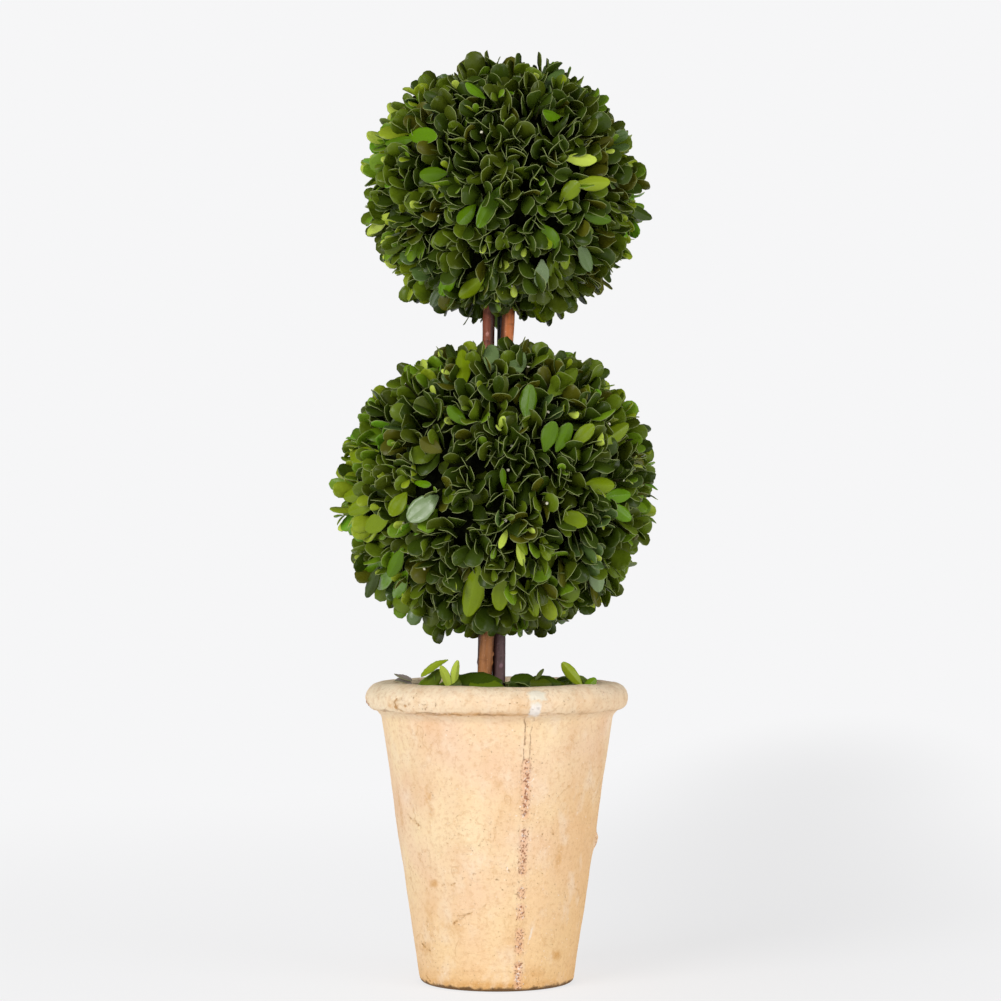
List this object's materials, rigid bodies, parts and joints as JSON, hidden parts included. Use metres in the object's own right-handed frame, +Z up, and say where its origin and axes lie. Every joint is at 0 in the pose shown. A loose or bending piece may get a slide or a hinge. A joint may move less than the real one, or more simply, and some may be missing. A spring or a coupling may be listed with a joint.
{
  "type": "potted double-ball box topiary",
  "caption": "Small box shrub topiary: two clipped leaf balls, one above the other, on a bundle of sticks in a tapered earthenware pot with a rolled rim.",
  "frame": {"origin": "centre of the pot's flat underside", "axes": "+Z up along the pot's axis, -Y towards the side seen in front view, with the mould seam right of its middle"},
  "size_m": [0.175, 0.1815, 0.4995],
  "materials": {
    "earthenware": "matte",
    "foam": "matte",
    "litter_leaves": "satin",
    "bark_brown": "satin",
    "bark_dark": "satin",
    "bark_red": "satin",
    "box_leaves": "satin"
  },
  "bodies": {
    "root": {"pot": "earthenware", "pot_foam": "foam", "leaf_litter": "litter_leaves", "stem_front": "bark_brown", "stem_right": "bark_dark", "stem_rear": "bark_red", "foliage_lower": "box_leaves", "foliage_upper": "box_leaves"}
  },
  "joints": []
}
